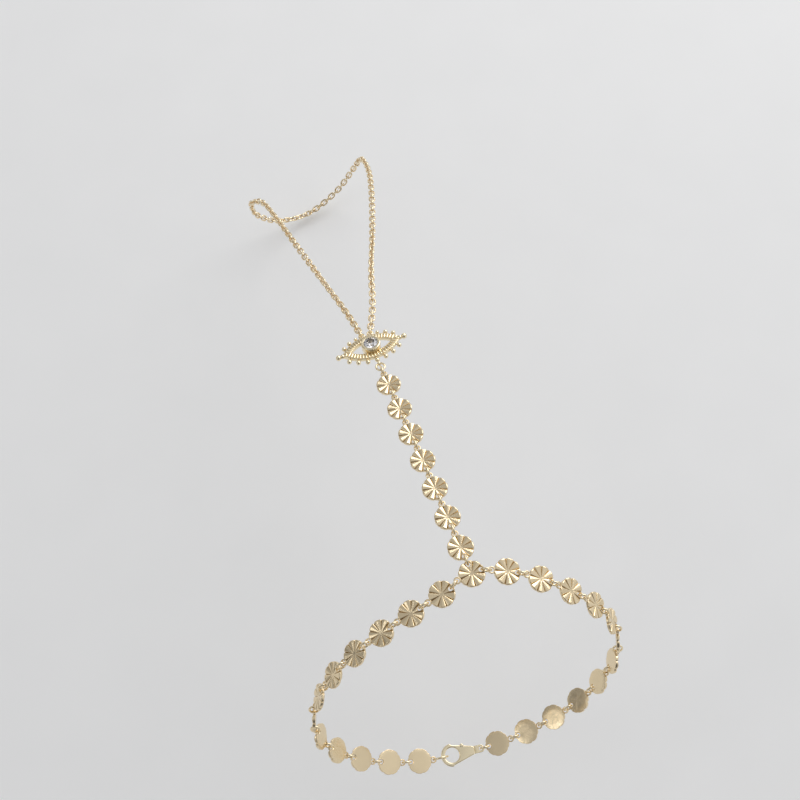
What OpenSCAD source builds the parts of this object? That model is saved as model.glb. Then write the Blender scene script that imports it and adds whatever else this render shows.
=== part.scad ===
// Hand chain bracelet: a loop of fluted discs round the wrist, a strand of the same discs
// over the back of the hand, an openwork eye with one stone, and a fine chain round a finger.
// Lengths are in millimetres and angles in degrees. The forearm points along +Y, the back of
// the hand faces +Z, and the origin is the middle of the wrist.

/* [Wrist loop] */
// Width of the loop across the wrist, between disc centres
wrist_w = 59; // [58:0.5:60]
// Height of the loop through the wrist, between disc centres
wrist_h = 43; // [42:0.5:44]
// Angle by which the right side of the loop sits nearer the fingers
loop_turn = 13; // [8:1:16]
// Angle by which the top of the loop leans towards the fingers
loop_lean = 28.5; // [25:0.5:30]
// How far the strand draws the middle disc towards the fingers
strand_pull = 5.3; // [4:0.1:6]
// Discs on each side of the middle disc
side_discs = 12; // [11:1:12]

/* [Discs] */
// Diameter of a disc
disc_d = 5; // [4.8:0.1:5.1]
// Petals pressed into the face of a disc, an odd number
petals = 9; // [7, 9]
// Height of the middle of a disc above its flat back
disc_rise = 0.46; // [0.44:0.02:0.5]
// Distance from a disc's middle to the hole for its jump ring
hole_reach = 1.85; // [1.8:0.05:1.9]
// Distance from a disc's middle to the eyelet on its other side
eyelet_reach = 2.95; // [2.9:0.05:3]

/* [Jump rings] */
// Diameter of a jump ring, measured to the middle of its wire
ring_d = 1.8; // [1.75:0.05:1.85]
// Thickness of the jump ring wire
ring_wire = 0.42; // [0.36:0.02:0.44]
// Diameter of the clasp's catch ring, measured to the middle of its wire
catch_d = 3.2; // [3:0.1:3.4]

/* [Strand] */
// Discs in the strand over the back of the hand
strand_discs = 7; // [5:1:7]
// Angle by which the strand leans to the left of the forearm
strand_aside = 20.5; // [15:0.5:25]
// Downward slope of the strand where it leaves the wrist
slope_start = 9.5; // [5:0.5:12]
// Downward slope of the strand at the eye
slope_end = 19.5; // [15:0.5:22]

/* [Eye] */
// Half the length of the lids
lid_half_len = 6.4; // [6.2:0.1:6.6]
// Half the height of the lids
lid_half_h = 3.2; // [3.1:0.1:3.3]
// Width of each lid
lid_band = 1.45; // [1.4:0.05:1.5]
// Ribs across each lid
ribs = 19; // [15:2:21]
// Diameter of the stone
stone_d = 3.2; // [3:0.05:3.3]
// Diameter of the bezel cup round the stone
bezel_d = 4.05; // [3.9:0.05:4.2]

/* [Finger chain] */
// Length of a chain link over its wire
link_len = 2.3; // [2.2:0.05:2.4]
// Width of a chain link over its wire
link_w = 1.6; // [1.5:0.05:1.7]
// Thickness of the chain wire
link_wire = 0.4; // [0.36:0.02:0.42]

/* [Hidden] */
$fn = 48;
gold = [0.90, 0.80, 0.56];
crystal = [0.86, 0.85, 0.92];

// Disc pitch: hole, then a jump ring, then the next disc's eyelet
pitch = hole_reach + ring_d + eyelet_reach;
// Play left between two wires that hook each other, and between two links of the chain
play = 0.12;
link_play = 0.18;

// How far a cutter reaches past the metal, each way
cut = 2;

// Pieces of a disc, in its own frame: X towards the hole, Z out of the face. The grooves
// between its petals have a dip and a half width for each unit of depth. The face is dished,
// so the petals rise towards the rim
disc_r = disc_d / 2;
disc_back = -0.35;
disc_mid = disc_back + disc_rise;
rim_rise = 0.21;
hub_r = 0.4;
hub_rise = 0.03;
flute_start = 0.25;
flute_dip = 0.3;
flute_wide = 2.76;
valley_dip = 3.2;
valley_wide = 1.1;
notch_r = 0.3;
notch_depth = 0.12;
hole_r = 0.45;
eyelet_r = 0.7;
eyelet_hole_r = 0.42;
eyelet_t = 0.38;

// How fast the strand's pull fades along the loop, as an angle round the wrist
left_fade = 20;
right_fade = 34;

// Frame of the eye: X along the lids, Y towards the finger, Z out of the hand
band_back = -0.45;
band_front = 0.35;
lid_r = (lid_half_len * lid_half_len + lid_half_h * lid_half_h) / (2 * lid_half_h);
lid_centre = lid_r - lid_half_h;
rib_r = 0.2;
rib_z = band_front - 0.02;
rib_spread = 43;
rib_short = 0.05;
granule_r = 0.5;
small_granule_r = 0.38;
upper_out = 0.6;
lower_out = 0.75;
stem_r = 0.12;
stem_root = 0.3;
upper_granules = [28, 39.5];
upper_small_granule = 16.5;
lower_granules = [0, 13, 26, 39];
tip_reach = [6.35, 7.25];
tip_r = [0.5, 0.6];
tip_stem = 0.25;
loop_wire_r = 0.2;
loop_r = 0.55;
top_loop = [0.95, 3.75];
bail_sunk = 0.17;
bail_y = -(lid_half_h + lower_out + granule_r + loop_r + loop_wire_r - bail_sunk);

// Bezel cup and the stone in it, as heights in the frame of the eye
girdle_z = 1.15;
girdle_t = 0.06;
lip_start = girdle_z + 0.12;
lip_top = girdle_z + 0.27;
lip_bevel = 0.15;
stone_gap = 0.05;
seat_r = 1.38;
seat_z = 0.85;
cup_floor = -0.25;
cup_floor_r = 0.8;
lip_foot = 0.06;
lip_cover = 0.2;
crown_h = 0.51;
crown_mid_h = 0.285;
pavilion_h = 1.28;
table_r = 0.27 * stone_d;
crown_mid_r = 0.42 * stone_d;
culet_r = 0.05;
facet_edge = 0.002;

// Clasp, in its own frame: X from the tail eyelet to the claw
clasp_t = 1.2;
tail_t = 0.38;
tail_r = 0.8;
tail_hole_r = 0.42;
shoulder_x = 1.3;
claw_r = 2.3;
claw_hole_r = 1.5;
claw_play = 0.65;
neck_r = 2.1;
trigger_r = 0.45;
trigger_side = 1.38;

// Route of the finger chain between the eye's two top loops, down the left side of the
// finger, under it and back up its right side
chain_turns = [
    [-25.0, 62.0, 1.5], [-31.5, 73.5, -4.0], [-38.0, 85.5, -10.5], [-43.0, 95.0, -16.0],
    [-47.0, 101.5, -20.0], [-50.5, 104.5, -25.5], [-50.0, 105.5, -33.0], [-45.0, 107.5, -39.5],
    [-37.5, 111.5, -42.5], [-30.0, 116.5, -39.5], [-25.0, 119.5, -32.5], [-23.0, 117.5, -25.5],
    [-21.0, 111.0, -20.0], [-20.0, 102.0, -15.0], [-19.5, 88.0, -8.5], [-19.5, 74.0, -2.0],
    [-19.0, 63.0, 2.5]
];
route_steps = 12;
// Direction that no stretch of the route follows, from which the links take their roll
roll_guide = [0.94, -0.34, 0];
// Length over which the roll of the links eases from the eye's face to that direction
roll_ease = 50;
end_points = 5;
link_sides = 2 * end_points;
wire_sides = 5;

function unit(v) = v / norm(v);
function across(v, axis) = unit(v - (v * axis) * axis);

// The loop round the wrist, as a point for each angle from its top
function fade(t) = t < 0 ? exp(t / left_fade) : exp(-pow(t / right_fade, 2));
function loop_at(t) =
    let (x = wrist_w / 2 * sin(t), z = wrist_h / 2 * cos(t))
    [x, tan(loop_turn) * x + tan(loop_lean) * (z - wrist_h / 2) + strand_pull * (fade(t) - 1), z];
function loop_normal(t) = unit([sin(t) / wrist_w, 0, cos(t) / wrist_h]);

// Running length of a row of points
function lengths(points) =
    [for (i = 0, s = 0; i < len(points);
          s = s + (i + 1 < len(points) ? norm(points[i + 1] - points[i]) : 0), i = i + 1) s];

loop_points = [for (t = [-180 : 180]) loop_at(t)];
loop_lengths = lengths(loop_points);
loop_length = loop_lengths[360];
angle_table = [for (i = [0 : 360]) [loop_lengths[i] - loop_lengths[180], i - 180]];

// A frame is [place, X direction, Z direction]
function loop_frame(s) =
    let (t = lookup(s, angle_table), x = unit(loop_at(t + 0.5) - loop_at(t - 0.5)))
    [loop_at(t), x, across(loop_normal(t), x)];
function to_world(frame, p) =
    frame[0] + p.x * frame[1] + p.y * cross(frame[2], frame[1]) + p.z * frame[2];

// The strand over the back of the hand, which curves down towards the finger
strand_first = hole_reach + ring_d + hole_reach;
// Length from the last strand disc to the eye: an eyelet, two linked rings and the bail
linked_rings = ring_d - ring_wire - play;
bail_link = ring_d / 2 - ring_wire / 2 - loop_wire_r - play;
eye_gap = eyelet_reach + ring_d / 2 + linked_rings + bail_link + loop_r - bail_y;
strand_length = strand_first + (strand_discs - 1) * pitch + eye_gap;
strand_way = [-sin(strand_aside), cos(strand_aside), 0];
bend = (slope_end - slope_start) / strand_length;
function slope(s) = slope_start + bend * s;
function strand_along(s) = cos(slope(s)) * strand_way - [0, 0, sin(slope(s))];
function strand_out(s) = sin(slope(s)) * strand_way + [0, 0, cos(slope(s))];

// The middle disc is tipped half way towards the strand that it carries
loop_top = loop_frame(0);
middle = [loop_top[0], loop_top[1], across(loop_top[2] + strand_out(0), loop_top[1])];
function strand_at(s) =
    middle[0] + (sin(slope(s)) - sin(slope_start)) * 180 / PI / bend * strand_way
    + [0, 0, (cos(slope(s)) - cos(slope_start)) * 180 / PI / bend];
function strand_place(k) = strand_first + (strand_discs - k) * pitch;
function strand_frame(k) =
    let (s = strand_place(k)) [strand_at(s), -strand_along(s), strand_out(s)];
eye_along = strand_along(strand_length);
eye_out = strand_out(strand_length);
eye_frame_at = [strand_at(strand_length), cross(eye_along, eye_out), eye_out];

// Holes and eyelets of the discs
function hole_of(frame) = to_world(frame, [hole_reach, 0, 0]);
function eyelet_of(frame) = to_world(frame, [-eyelet_reach, 0, 0]);
function disc_frame(k) = k == 0 ? middle : loop_frame(k * pitch);
middle_to_strand = across(hole_of(strand_frame(strand_discs)) - middle[0], middle[2]);
strand_anchor = middle[0] + hole_reach * middle_to_strand;
anchor_turn = atan2(middle_to_strand * cross(middle[2], middle[1]), middle_to_strand * middle[1]);

// The clasp hangs between the last disc on the right and the last one on the left
last_right = disc_frame(side_discs);
last_left = disc_frame(-side_discs);
clasp_out = unit(last_right[2] + last_left[2]);
clasp_from = hole_of(last_right);
clasp_to = eyelet_of(last_left);
clasp_along = unit(clasp_to - clasp_from);
clasp_length = norm(clasp_to - clasp_from) - ring_d - catch_d;
clasp_tail = clasp_from + ring_d * clasp_along;
clasp_frame = [clasp_tail, clasp_along, across(clasp_out, clasp_along)];

// A smooth curve through the chain's turns
function curve(a, b, c, d, u) =
    0.5 * (2 * b + (c - a) * u + (2 * a - 5 * b + 4 * c - d) * u * u
    + (3 * b - a - 3 * c + d) * u * u * u);
chain_start = to_world(eye_frame_at, [-top_loop.x, top_loop.y, 0]);
chain_end = to_world(eye_frame_at, [top_loop.x, top_loop.y, 0]);
route = concat([chain_start], chain_turns, [chain_end]);
function route_knot(i) =
    i < 0 ? 2 * route[0] - route[1] :
    i >= len(route) ? 2 * route[len(route) - 1] - route[len(route) - 2] : route[i];
chain_points = concat([for (i = [0 : len(route) - 2], j = [0 : route_steps - 1])
    curve(route_knot(i - 1), route[i], route[i + 1], route_knot(i + 2), j / route_steps)], [chain_end]);
chain_lengths = lengths(chain_points);
chain_length = chain_lengths[len(chain_lengths) - 1];
function chain_table(axis) =
    [for (i = [0 : len(chain_points) - 1]) [chain_lengths[i], chain_points[i][axis]]];
chain_x = chain_table(0);
chain_y = chain_table(1);
chain_z = chain_table(2);
function chain_at(s) = [lookup(s, chain_x), lookup(s, chain_y), lookup(s, chain_z)];

// The links: an odd number, so that the first and the last both stand on edge
link_half = (link_len - link_wire) / 2;
link_side = (link_w - link_wire) / 2;
wanted_step = link_len - 2 * link_wire - link_play;
links = 2 * round((chain_length - 2 * link_half) / wanted_step / 2) + 1;
link_step = (chain_length - 2 * link_half) / (links - 1);
left_links = (links + 1) / 2;
function link_ease(s) = min(1, min(s, chain_length - s) / roll_ease);
function link_frame(i) =
    let (s = link_half + i * link_step,
         along = unit(chain_at(s + link_half) - chain_at(s - link_half)),
         up = across((1 - link_ease(s)) * eye_out + link_ease(s) * roll_guide, along))
    [chain_at(s), along, i % 2 == 0 ? cross(along, up) : up];
function link_points(i) =
    let (f = link_frame(i), y = cross(f[2], f[1]))
    [for (end = [1, -1], j = [0 : end_points - 1], k = [0 : wire_sides - 1])
        let (a = 180 * (j / (end_points - 1) - end / 2), b = 360 * k / wire_sides,
             out = [cos(a), sin(a), 0],
             p = [end * (link_half - link_side), 0, 0] + (link_side + link_wire / 2 * cos(b)) * out)
        f[0] + p.x * f[1] + p.y * y + link_wire / 2 * sin(b) * f[2]];
function link_faces(i) =
    let (first = i * link_sides * wire_sides)
    [for (j = [0 : link_sides - 1], k = [0 : wire_sides - 1], half = [0, 1])
        let (j2 = (j + 1) % link_sides, k2 = (k + 1) % wire_sides,
             a = first + j * wire_sides + k, b = first + j2 * wire_sides + k,
             c = first + j2 * wire_sides + k2, d = first + j * wire_sides + k2)
        half == 0 ? [a, b, c] : [a, c, d]];

module put(frame) {
    y = cross(frame[2], frame[1]);
    multmatrix([
        [frame[1].x, y.x, frame[2].x, frame[0].x],
        [frame[1].y, y.y, frame[2].y, frame[0].y],
        [frame[1].z, y.z, frame[2].z, frame[0].z],
        [0, 0, 0, 1]
    ]) children();
}

// A V groove that runs outwards from the middle, deeper towards the rim, with the given half
// width for each unit of depth
module groove(dip, wide) {
    translate([0, 0, disc_mid])
        rotate([0, 90 + dip, 0])
            translate([0, 0, flute_start])
                linear_extrude(disc_r + cut) polygon([[0, 0], [-1, wide], [-1, -wide]]);
}

// The blank and its petals, which are what is left between a wide and a narrow groove
module petal_face() {
    difference() {
        rotate_extrude()
            polygon([
                [0, disc_back], [disc_r, disc_back], [disc_r, disc_mid + rim_rise], [0, disc_mid]
            ]);
        for (k = [0 : petals - 1])
            rotate([0, 0, (k + 0.5) * 360 / petals]) {
                groove(flute_dip, flute_wide);
                groove(valley_dip, valley_wide);
            }
    }
    translate([0, 0, disc_back]) cylinder(r = hub_r, h = disc_rise + hub_rise);
}

module rim_notches() {
    for (k = [0 : petals - 1])
        if (k != (petals - 1) / 2)
            rotate([0, 0, (k + 0.5) * 360 / petals])
                translate([disc_r + notch_r - notch_depth, 0, -cut])
                    cylinder(r = notch_r, h = 2 * cut);
}

module drill(x, r) {
    translate([x, 0, -cut]) cylinder(r = r, h = 2 * cut);
}

// A fluted disc: the hole at +X takes one jump ring and the eyelet at -X takes the next
module fluted_disc(extra_hole_turn = undef) {
    color(gold)
    difference() {
        union() {
            difference() {
                petal_face();
                rim_notches();
            }
            translate([-eyelet_reach, 0, -eyelet_t / 2]) cylinder(r = eyelet_r, h = eyelet_t);
        }
        drill(hole_reach, hole_r);
        drill(-eyelet_reach, eyelet_hole_r);
        if (extra_hole_turn != undef)
            rotate([0, 0, extra_hole_turn]) drill(hole_reach, hole_r);
    }
}

module middle_disc() {
    put(disc_frame(0)) fluted_disc(anchor_turn);
}

module right_disc(k) {
    put(disc_frame(k)) fluted_disc();
}

module left_disc(k) {
    put(disc_frame(-k)) fluted_disc();
}

module strand_disc(k) {
    put(strand_frame(k)) fluted_disc();
}

// A ring of round wire that stands on edge in its frame's XZ plane
module wire_ring(d, wire) {
    color(gold) rotate([90, 0, 0]) rotate_extrude() translate([d / 2, 0]) circle(d = wire);
}

// A ring that hangs on one point and holds another, standing on the surface there
module ring_between(from, to, out, d = ring_d) {
    along = unit(to - from);
    put([(from + to) / 2, along, across(out, along)]) wire_ring(d, ring_wire);
}

module wrist_jump_rings() {
    for (k = [-side_discs : side_discs - 1]) {
        near = disc_frame(k);
        far = disc_frame(k + 1);
        ring_between(hole_of(near), eyelet_of(far), near[2] + far[2]);
    }
    ring_between(clasp_from, clasp_tail, last_right[2] + clasp_out);
    ring_between(clasp_to - catch_d * clasp_along, clasp_to, last_left[2] + clasp_out, catch_d);
}

module strand_jump_rings() {
    first = strand_frame(strand_discs);
    ring_between(strand_anchor, hole_of(first), middle[2] + first[2]);
    for (k = [1 : strand_discs - 1]) {
        near = strand_frame(k + 1);
        far = strand_frame(k);
        ring_between(eyelet_of(near), hole_of(far), near[2] + far[2]);
    }
    eye_rings();
}

// Two linked rings between the last strand disc and the eye: one on edge, then one flat
module eye_rings() {
    last = strand_frame(1);
    bail = to_world(eye_frame_at, [0, bail_y - loop_r, 0]);
    along = unit(bail - eyelet_of(last));
    out = across(eye_out, along);
    standing = eyelet_of(last) + ring_d / 2 * along;
    flat = bail - bail_link * along;
    put([standing, along, out]) wire_ring(ring_d, ring_wire);
    put([flat, along, cross(along, out)]) wire_ring(ring_d, ring_wire);
}

// The hidden clasp, in one plain piece: a thin tail eyelet and a thicker body with its claw
module clasp() {
    claw_x = clasp_length + claw_play - claw_hole_r;
    color(gold)
    put(clasp_frame)
    difference() {
        union() {
            translate([0, 0, -tail_t / 2])
                linear_extrude(tail_t) {
                    circle(r = tail_r);
                    polygon([[0, -tail_r], [shoulder_x, -tail_r], [shoulder_x, tail_r], [0, tail_r]]);
                }
            translate([0, 0, -clasp_t / 2])
                linear_extrude(clasp_t) {
                    polygon([[shoulder_x, -tail_r], [claw_x, -neck_r], [claw_x, neck_r], [shoulder_x, tail_r]]);
                    translate([claw_x, 0]) circle(r = claw_r);
                    translate([claw_x - claw_r, trigger_side]) circle(r = trigger_r);
                }
        }
        drill(0, tail_hole_r);
        drill(claw_x, claw_hole_r);
    }
}

// A lens between two arcs of the given radius, centred as the lids are
module lens(r) {
    intersection() {
        translate([0, lid_centre]) circle(r = r, $fn = 180);
        translate([0, -lid_centre]) circle(r = r, $fn = 180);
    }
}

// Children placed along one lid, at an angle about the centre of its arc
module on_lid(turn) {
    translate([0, -lid_centre, 0]) rotate([0, 0, -turn]) children();
}

// A rib across one lid. Near a corner of the eye it starts where it meets the other lid's rib
module rib(turn) {
    start = max(lid_r - lid_band + rib_short, lid_centre / cos(turn));
    on_lid(turn)
        translate([0, start, rib_z])
            rotate([-90, 0, 0]) cylinder(r = rib_r, h = lid_r - rib_short - start, $fn = 24);
}

module lid_ribs() {
    for (k = [-1 : ribs]) rib(rib_spread * (2 * k / (ribs - 1) - 1));
}

// A ball on a short stem, standing out from the edge of a lid
module granule(turn, r, reach) {
    on_lid(turn)
        translate([0, lid_r - stem_root, 0])
            rotate([-90, 0, 0]) {
                cylinder(r = stem_r, h = reach + stem_root, $fn = 24);
                translate([0, 0, reach + stem_root]) sphere(r = r, $fn = 32);
            }
}

module bezel_solid() {
    rotate_extrude()
        polygon([
            [0, band_back], [bezel_d / 2, band_back], [bezel_d / 2, lip_top - lip_bevel],
            [bezel_d / 2 - lip_bevel, lip_top], [0, lip_top]
        ]);
}

// The hollow of the bezel: the stone's seat, its girdle's bore and the lip that holds it
module bezel_hollow() {
    bore_r = stone_d / 2 + stone_gap;
    rotate_extrude()
        polygon([
            [0, cup_floor], [cup_floor_r, cup_floor], [seat_r, seat_z], [bore_r, seat_z],
            [bore_r, lip_start], [bore_r - lip_foot, lip_start], [bore_r - lip_cover, lip_top],
            [bore_r - lip_cover, lip_top + cut], [0, lip_top + cut]
        ]);
}

// The eye's soldered metal: lids, ribs, granules, bezel cup, two top loops and the bail
module eye_frame() {
    color(gold)
    put(eye_frame_at)
    difference() {
        union() {
            translate([0, 0, band_back])
                linear_extrude(band_front - band_back)
                    difference() {
                        lens(lid_r);
                        lens(lid_r - lid_band);
                    }
            lid_ribs();
            mirror([0, 1, 0]) lid_ribs();
            for (side = [-1, 1]) {
                for (turn = upper_granules) granule(side * turn, granule_r, upper_out);
                granule(side * upper_small_granule, small_granule_r, upper_out);
                for (turn = lower_granules)
                    if (side > 0 || turn > 0)
                        mirror([0, 1, 0]) granule(side * turn, granule_r, lower_out);
                rotate([0, 90 * side, 0]) {
                    translate([0, 0, tip_reach[0]]) cylinder(r = tip_stem, h = tip_reach[1] - tip_reach[0]);
                    for (i = [0, 1]) translate([0, 0, tip_reach[i]]) sphere(r = tip_r[i], $fn = 32);
                }
                translate([side * top_loop.x, top_loop.y, 0])
                    rotate_extrude() translate([loop_r, 0]) circle(r = loop_wire_r, $fn = 24);
            }
            translate([0, bail_y, 0]) rotate([0, 90, 0])
                rotate_extrude() translate([loop_r, 0]) circle(r = loop_wire_r, $fn = 24);
            bezel_solid();
        }
        bezel_hollow();
    }
}

// A round brilliant: table, crown, girdle and pavilion
module eye_stone() {
    color(crystal)
    put(eye_frame_at)
    translate([0, 0, girdle_z])
    hull() {
        translate([0, 0, crown_h - facet_edge]) cylinder(r = table_r, h = facet_edge, $fn = 8);
        translate([0, 0, crown_mid_h])
            rotate([0, 0, 180 / 8]) cylinder(r = crown_mid_r, h = facet_edge, $fn = 8);
        cylinder(d = stone_d, h = girdle_t, $fn = 16);
        translate([0, 0, -pavilion_h]) cylinder(r = culet_r, h = facet_edge, $fn = 8);
    }
}

// Links first to last of the finger chain, each hooked through the next
module chain_links(first, last) {
    color(gold)
    polyhedron(
        points = [for (i = [first : last]) each link_points(i)],
        faces = [for (i = [0 : last - first]) each link_faces(i)],
        convexity = 10);
}

module finger_chain_left() {
    chain_links(0, left_links - 1);
}

module finger_chain_right() {
    chain_links(left_links, links - 1);
}

middle_disc();
for (k = [1 : side_discs]) {
    right_disc(k);
    left_disc(k);
}
for (k = [1 : strand_discs])
    strand_disc(k);
wrist_jump_rings();
strand_jump_rings();
clasp();
eye_frame();
eye_stone();
finger_chain_left();
finger_chain_right();
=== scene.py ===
"""Looks of a hand chain bracelet: fluted discs, jump rings, an openwork eye and a finger chain.

The layout repeats the part's own sizes, in millimetres and degrees, and meshes are in metres.
"""

import bisect
import json
import logging
import math
import random
from dataclasses import dataclass, field
from enum import Enum
from typing import Callable, Sequence

import bpy
from mathutils import Matrix, Vector

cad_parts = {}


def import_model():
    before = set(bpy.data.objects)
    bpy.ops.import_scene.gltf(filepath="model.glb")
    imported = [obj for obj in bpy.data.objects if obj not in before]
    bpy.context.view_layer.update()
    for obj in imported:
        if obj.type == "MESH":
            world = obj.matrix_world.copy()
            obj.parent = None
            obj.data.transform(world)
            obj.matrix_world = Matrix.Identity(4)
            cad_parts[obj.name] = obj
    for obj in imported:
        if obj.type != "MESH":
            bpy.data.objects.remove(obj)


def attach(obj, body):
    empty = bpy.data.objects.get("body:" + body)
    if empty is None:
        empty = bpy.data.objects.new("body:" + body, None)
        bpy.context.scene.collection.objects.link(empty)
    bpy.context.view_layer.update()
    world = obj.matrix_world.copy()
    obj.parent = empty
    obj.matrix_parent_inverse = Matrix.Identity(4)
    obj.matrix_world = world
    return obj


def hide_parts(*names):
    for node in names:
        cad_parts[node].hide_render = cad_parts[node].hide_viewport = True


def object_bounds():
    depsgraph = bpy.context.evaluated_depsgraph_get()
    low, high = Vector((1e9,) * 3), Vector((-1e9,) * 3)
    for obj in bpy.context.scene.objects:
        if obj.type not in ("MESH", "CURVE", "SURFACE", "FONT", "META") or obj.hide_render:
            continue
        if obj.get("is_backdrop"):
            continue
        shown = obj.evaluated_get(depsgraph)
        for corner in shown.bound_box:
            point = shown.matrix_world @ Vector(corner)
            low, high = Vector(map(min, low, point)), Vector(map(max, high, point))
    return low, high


log = logging.getLogger("bracelet")

MM = 0.001
TAU = 2 * math.pi
SLIGHT = 1e-6
POLE_GAP = 0.04

Loop = list[Vector]
Reach = Callable[[float, float], float]


class Slot(Enum):
    """Names of the record's material slots, which show takes but does not use."""

    GOLD = "gold"
    STONE = "stone"


@dataclass(frozen=True)
class Sizes:
    """Driving sizes of the bracelet, in millimetres and degrees."""

    wrist_w: float = 59.0
    wrist_h: float = 43.0
    loop_turn: float = 13.0
    loop_lean: float = 28.5
    strand_pull: float = 5.3
    left_fade: float = 20.0
    right_fade: float = 34.0
    side_discs: int = 12
    disc_r: float = 2.5
    petals: int = 9
    disc_back: float = -0.35
    disc_mid: float = 0.11
    hole_reach: float = 1.85
    hole_r: float = 0.45
    eyelet_reach: float = 2.95
    eyelet_r: float = 0.7
    eyelet_hole_r: float = 0.42
    eyelet_t: float = 0.38
    ring_d: float = 1.8
    ring_wire: float = 0.42
    catch_d: float = 3.2
    play: float = 0.12
    strand_discs: int = 7
    strand_aside: float = 20.5
    slope_start: float = 9.5
    slope_end: float = 19.5
    eye_loop_r: float = 0.55
    eye_loop_wire_r: float = 0.2
    top_loop_x: float = 0.95
    top_loop_y: float = 3.75
    bail_y: float = -5.03
    link_len: float = 2.3
    link_w: float = 1.6
    link_wire: float = 0.4
    link_play: float = 0.18
    roll_ease: float = 50.0
    claw_play: float = 0.65
    claw_hole_r: float = 1.5


CHAIN_TURNS = (
    (-25.0, 62.0, 1.5), (-31.5, 73.5, -4.0), (-38.0, 85.5, -10.5), (-43.0, 95.0, -16.0),
    (-47.0, 101.5, -20.0), (-50.5, 104.5, -25.5), (-50.0, 105.5, -33.0), (-45.0, 107.5, -39.5),
    (-37.5, 111.5, -42.5), (-30.0, 116.5, -39.5), (-25.0, 119.5, -32.5), (-23.0, 117.5, -25.5),
    (-21.0, 111.0, -20.0), (-20.0, 102.0, -15.0), (-19.5, 88.0, -8.5), (-19.5, 74.0, -2.0),
    (-19.0, 63.0, 2.5),
)
ROUTE_STEPS = 12
ROLL_GUIDE = Vector((0.94, -0.34, 0.0))


def across(v: Vector, axis: Vector) -> Vector:
    """The unit direction of the share of v that stands square to a unit axis."""
    return (v - v.dot(axis) * axis).normalized()


def smooth(low: float, high: float, value: float) -> float:
    """A smooth step from 0 at low to 1 at high."""
    u = min(1.0, max(0.0, (value - low) / (high - low)))
    return u * u * (3 - 2 * u)


def full_turn(count: int, shift: float = 0.0) -> list[float]:
    """Angles of even steps round a circle, all turned by a share of one step."""
    return [TAU * (k + shift) / count for k in range(count)]


@dataclass(frozen=True)
class Place:
    """A place on the bracelet: its middle, the way along and the way out of its face."""

    middle: Vector
    along: Vector
    out: Vector

    @property
    def side(self) -> Vector:
        """The direction across, which makes a right-handed frame with along and out."""
        return self.out.cross(self.along)

    def at(self, x: float, y: float = 0.0, z: float = 0.0) -> Vector:
        """The point with these coordinates in this place's own frame."""
        return self.middle + x * self.along + y * self.side + z * self.out

    def round(self, r: float, turn: float, z: float = 0.0) -> Vector:
        """The point at a distance and an angle about this place's out direction."""
        return self.at(r * math.cos(turn), r * math.sin(turn), z)

    def matrix(self) -> Matrix:
        """The matrix that puts a mesh drawn in metres at this place."""
        turn = Matrix((self.along, self.side, self.out)).transposed().to_4x4()
        return Matrix.Translation(self.middle * MM) @ turn


class Track:
    """Values against a running length, read between its points along straight lines."""

    def __init__(self, keys: Sequence[float], values: Sequence[float | Vector]) -> None:
        """Keeps the keys, which are lengths in rising order, and a number or point for each."""
        self.keys = list(keys)
        self.values = list(values)

    def at(self, key: float) -> float | Vector:
        """The value at a key, held at the ends.

        Args:
            key: Running length.

        Returns:
            The number or point there.
        """
        i = min(max(bisect.bisect_right(self.keys, key), 1), len(self.keys) - 1)
        share = (key - self.keys[i - 1]) / (self.keys[i] - self.keys[i - 1])
        share = min(1.0, max(0.0, share))
        return self.values[i - 1] * (1 - share) + self.values[i] * share


def running_lengths(points: Sequence[Vector]) -> list[float]:
    """Length run at each point of a row of points.

    Args:
        points: The row.

    Returns:
        A length for each point, from 0.
    """
    lengths = [0.0]
    for a, b in zip(points, points[1:]):
        lengths.append(lengths[-1] + (b - a).length)
    return lengths


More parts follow.
